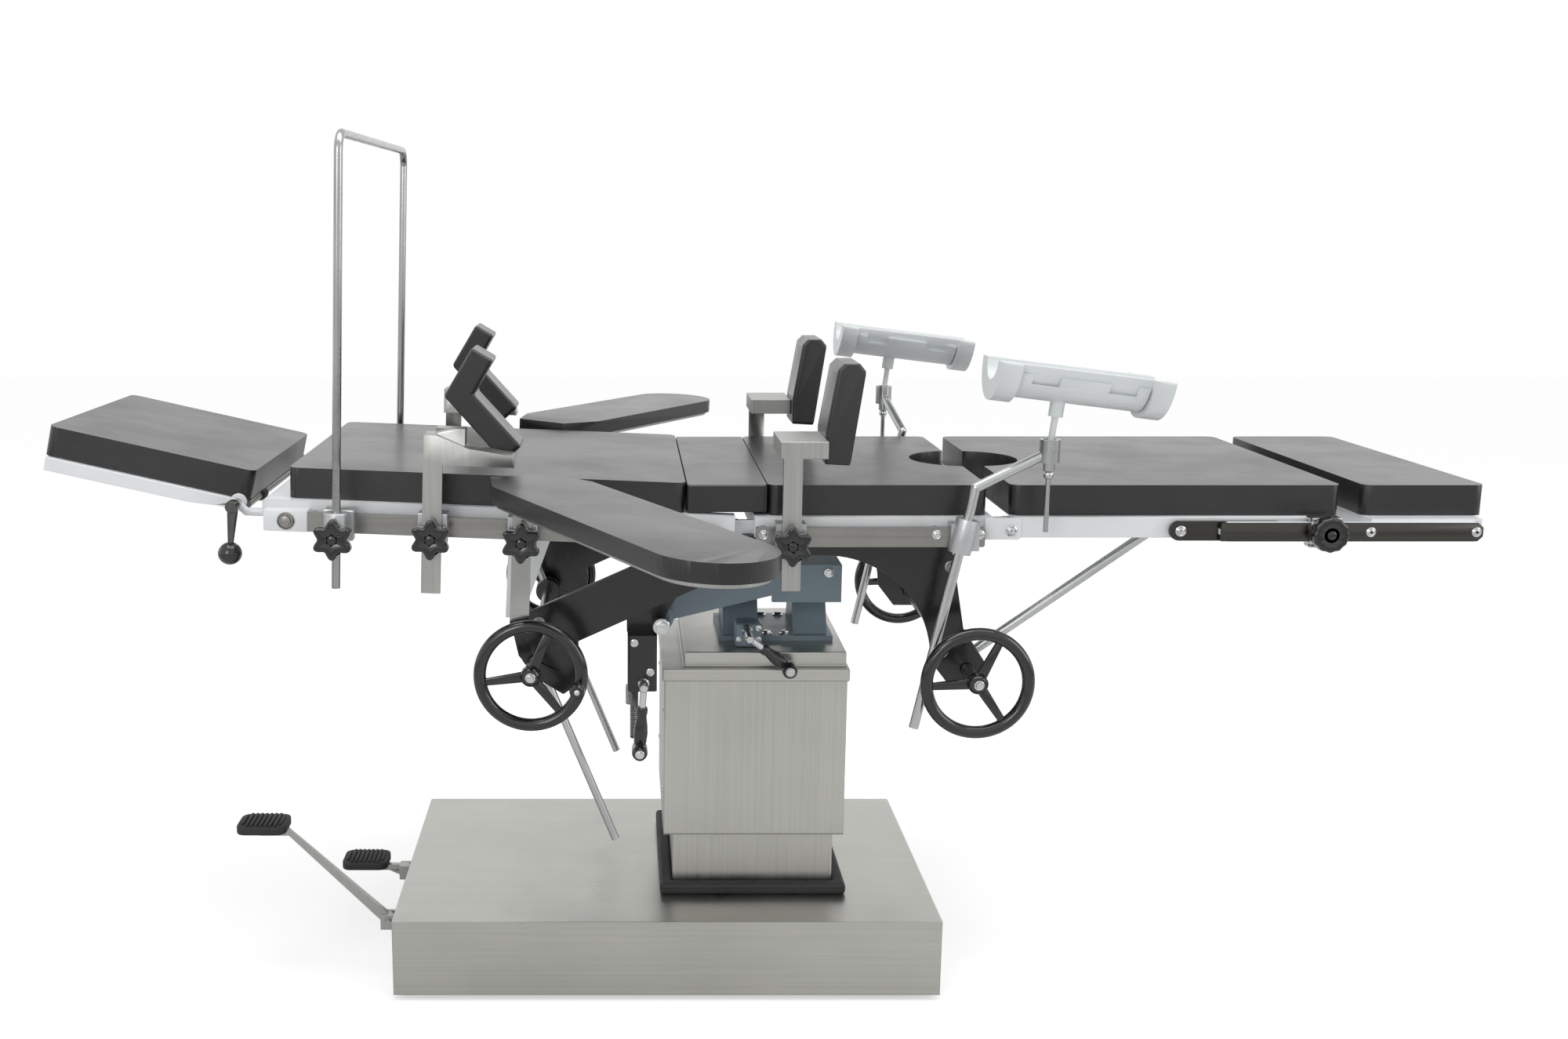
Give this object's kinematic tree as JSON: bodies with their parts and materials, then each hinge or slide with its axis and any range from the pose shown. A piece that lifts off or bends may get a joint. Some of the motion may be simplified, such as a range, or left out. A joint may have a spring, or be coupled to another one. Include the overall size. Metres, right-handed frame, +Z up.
{
  "type": "operating table",
  "caption": "Manual hydraulic operating table: sheet-steel base and column, tilting top in padded sections, hand drives, leg crutches, armboards, supports and screen hoop.",
  "frame": {"origin": "on the floor, under the axis of the lifting column and close to the centre of the whole outline", "axes": "+X along the table towards the foot end, +Y towards the side away from the hand cranks, +Z up"},
  "size_m": [2.0691, 1.6218, 1.283],
  "materials": {
    "stainless_cover": "brushed stainless sheet, warm grey",
    "stainless_rail": "brushed stainless flat bar",
    "bright_steel": "bright plated rod",
    "casting_paint": "blue-grey textured paint over cast iron",
    "black_paint": "gloss black enamel",
    "frame_paint": "white powder coat",
    "clamp_cast": "satin cast clamp",
    "steel": "machined steel",
    "black_vinyl": "satin black vinyl over foam",
    "black_plastic": "polished black moulding",
    "black_rubber": "matt black rubber",
    "shell_paint": "white moulded gutter"
  },
  "bodies": {
    "base": {"base_cover": "stainless_cover", "base_chassis": "steel", "base_feet": "black_rubber", "column_gasket": "black_rubber", "column_inner_cover": "stainless_cover", "lift_cylinder": "steel", "pedal_brackets": "bright_steel"},
    "lift_pedal": {"lift_pedal": "bright_steel"},
    "release_pedal": {"release_pedal": "bright_steel"},
    "column": {"column_outer_cover": "stainless_cover", "column_cap": "stainless_cover", "lift_ram": "steel", "column_head": "casting_paint", "roll_gearbox": "casting_paint"},
    "cradle": {"tilt_cradle": "casting_paint"},
    "table": {"seat_frame": "frame_paint", "seat_rails": "stainless_rail", "drive_brackets": "black_paint", "tilt_lever": "black_paint", "jack_housing": "black_paint", "seat_pad": "black_vinyl", "fold_pad": "black_vinyl", "seat_clamps": "clamp_cast"},
    "pitch_crank": {"pitch_crank": "black_plastic"},
    "roll_crank": {"roll_crank": "black_plastic"},
    "back": {"back_frame": "frame_paint", "back_rails": "stainless_rail", "back_pad": "black_vinyl", "back_clamps": "clamp_cast", "armboard_posts": "stainless_rail"},
    "head": {"head_frame": "frame_paint", "head_pad": "black_vinyl"},
    "head_lock": {"head_lock_lever": "black_plastic"},
    "back_block": {"back_drive_block": "black_paint"},
    "back_rod": {"back_push_rod": "steel"},
    "back_wheels": {"back_handwheels": "black_plastic"},
    "leg": {"leg_frame": "frame_paint", "leg_slides": "black_paint", "leg_pad": "black_vinyl"},
    "leg_block": {"leg_drive_block": "black_paint"},
    "leg_rod": {"leg_push_rod": "bright_steel"},
    "leg_wheels": {"leg_handwheels": "black_plastic"},
    "foot": {"foot_frame": "stainless_rail", "foot_pad": "black_vinyl"},
    "foot_knob": {"foot_knob": "black_plastic"},
    "screen": {"screen_hoop": "bright_steel"},
    "screen_knob": {"screen_knob": "black_plastic"},
    "near_armboard": {"near_armboard": "black_vinyl"},
    "far_armboard": {"far_armboard": "black_vinyl"},
    "armboard_knob": {"armboard_knob": "black_plastic"},
    "near_shoulder": {"near_shoulder_support": "black_vinyl"},
    "far_shoulder": {"far_shoulder_support": "black_vinyl"},
    "shoulder_knob": {"shoulder_knob": "black_plastic"},
    "near_body": {"near_body_support": "black_vinyl"},
    "far_body": {"far_body_support": "black_vinyl"},
    "body_knob": {"body_knob": "black_plastic"},
    "near_crutch_rod": {"near_crutch_rod": "bright_steel"},
    "far_crutch_rod": {"far_crutch_rod": "bright_steel"},
    "near_crutch": {"near_crutch": "shell_paint"},
    "far_crutch": {"far_crutch": "shell_paint"}
  },
  "joints": [
    {"name": "column_lift", "type": "slide", "parent": "base", "child": "column", "axis": [0, 0, 1], "range_m": [-0.04, 0.2]},
    {"name": "lift_pedal_pump", "type": "hinge", "parent": "base", "child": "lift_pedal", "pos_m": [-0.567, -0.17, 0.092], "axis": [0, 1, 0], "range_deg": [-12, 0], "stiffness_Nm_per_rad": 30},
    {"name": "release_pedal_press", "type": "hinge", "parent": "base", "child": "release_pedal", "pos_m": [-0.567, 0.04, 0.082], "axis": [0, 1, 0], "range_deg": [-8, 0], "stiffness_Nm_per_rad": 30},
    {"name": "lateral_tilt", "type": "hinge", "parent": "column", "child": "cradle", "pos_m": [0, 0, 0.596], "axis": [-1, 0, 0], "range_deg": [-15, 15]},
    {"name": "end_tilt", "type": "hinge", "parent": "cradle", "child": "table", "pos_m": [0.045, 0, 0.672], "axis": [0, -1, 0], "range_deg": [-20, 20]},
    {"name": "pitch_crank_turn", "type": "hinge", "parent": "table", "child": "pitch_crank", "pos_m": [-0.172, -0.2, 0.484], "axis": [0, -1, 0], "range_deg": [-720, 720]},
    {"name": "roll_crank_turn", "type": "hinge", "parent": "column", "child": "roll_crank", "pos_m": [-0.012, -0.12, 0.543], "axis": [0, -1, 0], "range_deg": [-720, 720]},
    {"name": "back_raise", "type": "hinge", "parent": "table", "child": "back", "pos_m": [-0.041, 0, 0.725], "axis": [0, 1, 0], "range_deg": [-7, 50], "deforming": ["fold_pad"]},
    {"name": "back_rod_swivel", "type": "hinge", "parent": "table", "child": "back_block", "pos_m": [-0.333, -0.2, 0.531], "axis": [0, 1, 0], "range_deg": [-10, 30]},
    {"name": "back_rod_travel", "type": "slide", "parent": "back_block", "child": "back_rod", "axis": [-0.3764, 0, 0.9265], "range_m": [-0.06, 0.32]},
    {"name": "back_wheels_turn", "type": "hinge", "parent": "table", "child": "back_wheels", "pos_m": [-0.333, 0, 0.531], "axis": [0, 1, 0], "range_deg": [-360, 3600]},
    {"name": "head_tilt", "type": "hinge", "parent": "back", "child": "head", "pos_m": [-0.76218, 0, 0.75997], "axis": [0, 1, 0], "range_deg": [-77.2, 32.2]},
    {"name": "head_lock_turn", "type": "hinge", "parent": "back", "child": "head_lock", "pos_m": [-0.76218, -0.238, 0.75997], "axis": [0, 1, 0], "range_deg": [0, 30]},
    {"name": "leg_lower", "type": "hinge", "parent": "table", "child": "leg", "pos_m": [0.349, 0, 0.729], "axis": [0, 1, 0], "range_deg": [0, 90]},
    {"name": "leg_rod_swivel", "type": "hinge", "parent": "table", "child": "leg_block", "pos_m": [0.298, -0.2, 0.52], "axis": [0, 1, 0], "range_deg": [-5, 70]},
    {"name": "leg_rod_travel", "type": "slide", "parent": "leg_block", "child": "leg_rod", "axis": [0.811, 0, 0.5851], "range_m": [-0.33, 0.01]},
    {"name": "leg_wheels_turn", "type": "hinge", "parent": "table", "child": "leg_wheels", "pos_m": [0.298, 0, 0.52], "axis": [0, 1, 0], "range_deg": [-3600, 360]},
    {"name": "foot_extend", "type": "slide", "parent": "leg", "child": "foot", "axis": [1, 0, 0], "range_m": [0, 0.1]},
    {"name": "foot_knob_turn", "type": "hinge", "parent": "leg", "child": "foot_knob", "pos_m": [0.787, -0.295, 0.73], "axis": [0, 1, 0], "range_deg": [-90, 90]},
    {"name": "screen_height", "type": "slide", "parent": "back", "child": "screen", "axis": [0.0401, 0, 0.9992], "range_m": [-0.3, 0.05]},
    {"name": "screen_knob_turn", "type": "hinge", "parent": "back", "child": "screen_knob", "pos_m": [-0.60115, -0.34, 0.73249], "axis": [0, 1, 0], "range_deg": [-90, 90]},
    {"name": "near_armboard_swing", "type": "hinge", "parent": "back", "child": "near_armboard", "pos_m": [-0.34376, -0.303, 0.73716], "axis": [0.0401, 0, 0.9992], "range_deg": [-30, 25]},
    {"name": "far_armboard_swing", "type": "hinge", "parent": "back", "child": "far_armboard", "pos_m": [-0.34376, 0.303, 0.73716], "axis": [-0.0401, 0, -0.9992], "range_deg": [-30, 25]},
    {"name": "armboard_knob_turn", "type": "hinge", "parent": "back", "child": "armboard_knob", "pos_m": [-0.34436, -0.315, 0.72217], "axis": [0, 1, 0], "range_deg": [-90, 90]},
    {"name": "near_shoulder_height", "type": "slide", "parent": "back", "child": "near_shoulder", "axis": [0.0401, 0, 0.9992], "range_m": [-0.01, 0.06]},
    {"name": "far_shoulder_height", "type": "slide", "parent": "back", "child": "far_shoulder", "axis": [0.0401, 0, 0.9992], "range_m": [-0.01, 0.06]},
    {"name": "shoulder_knob_turn", "type": "hinge", "parent": "back", "child": "shoulder_knob", "pos_m": [-0.47026, -0.315, 0.72723], "axis": [0, 1, 0], "range_deg": [-90, 90]},
    {"name": "near_body_height", "type": "slide", "parent": "table", "child": "near_body", "axis": [0, 0, 1], "range_m": [-0.025, 0.06]},
    {"name": "far_body_height", "type": "slide", "parent": "table", "child": "far_body", "axis": [0, 0, 1], "range_m": [-0.025, 0.06]},
    {"name": "body_knob_turn", "type": "hinge", "parent": "table", "child": "body_knob", "pos_m": [0.033, -0.315, 0.7175], "axis": [0, 1, 0], "range_deg": [-90, 90]},
    {"name": "near_crutch_swivel", "type": "hinge", "parent": "table", "child": "near_crutch_rod", "pos_m": [0.215, -0.2935, 0.446], "axis": [0.2095, 0, 0.9778], "range_deg": [-60, 14]},
    {"name": "far_crutch_swivel", "type": "hinge", "parent": "table", "child": "far_crutch_rod", "pos_m": [0.215, 0.2935, 0.446], "axis": [0.2095, 0, 0.9778], "range_deg": [-30, 30]},
    {"name": "near_crutch_tilt", "type": "hinge", "parent": "near_crutch_rod", "child": "near_crutch", "pos_m": [0.39, -0.2935, 0.854], "axis": [0, 1, 0], "range_deg": [-20, 20]},
    {"name": "far_crutch_tilt", "type": "hinge", "parent": "far_crutch_rod", "child": "far_crutch", "pos_m": [0.272, 0.398, 0.854], "axis": [0, 1, 0], "range_deg": [-20, 20]}
  ],
  "couplings": [
    {"joint": "pitch_crank_turn", "follows": "end_tilt", "ratio": 36},
    {"joint": "roll_crank_turn", "follows": "lateral_tilt", "ratio": 48},
    {"joint": "back_rod_swivel", "follows": "back_raise", "ratio": 0.41663},
    {"joint": "back_rod_travel", "follows": "back_raise", "m_per_rad": 0.32552},
    {"joint": "back_wheels_turn", "follows": "back_raise", "ratio": 36},
    {"joint": "leg_rod_swivel", "follows": "leg_lower", "ratio": 0.66946},
    {"joint": "leg_rod_travel", "follows": "leg_lower", "m_per_rad": -0.18903},
    {"joint": "leg_wheels_turn", "follows": "leg_lower", "ratio": -36}
  ]
}
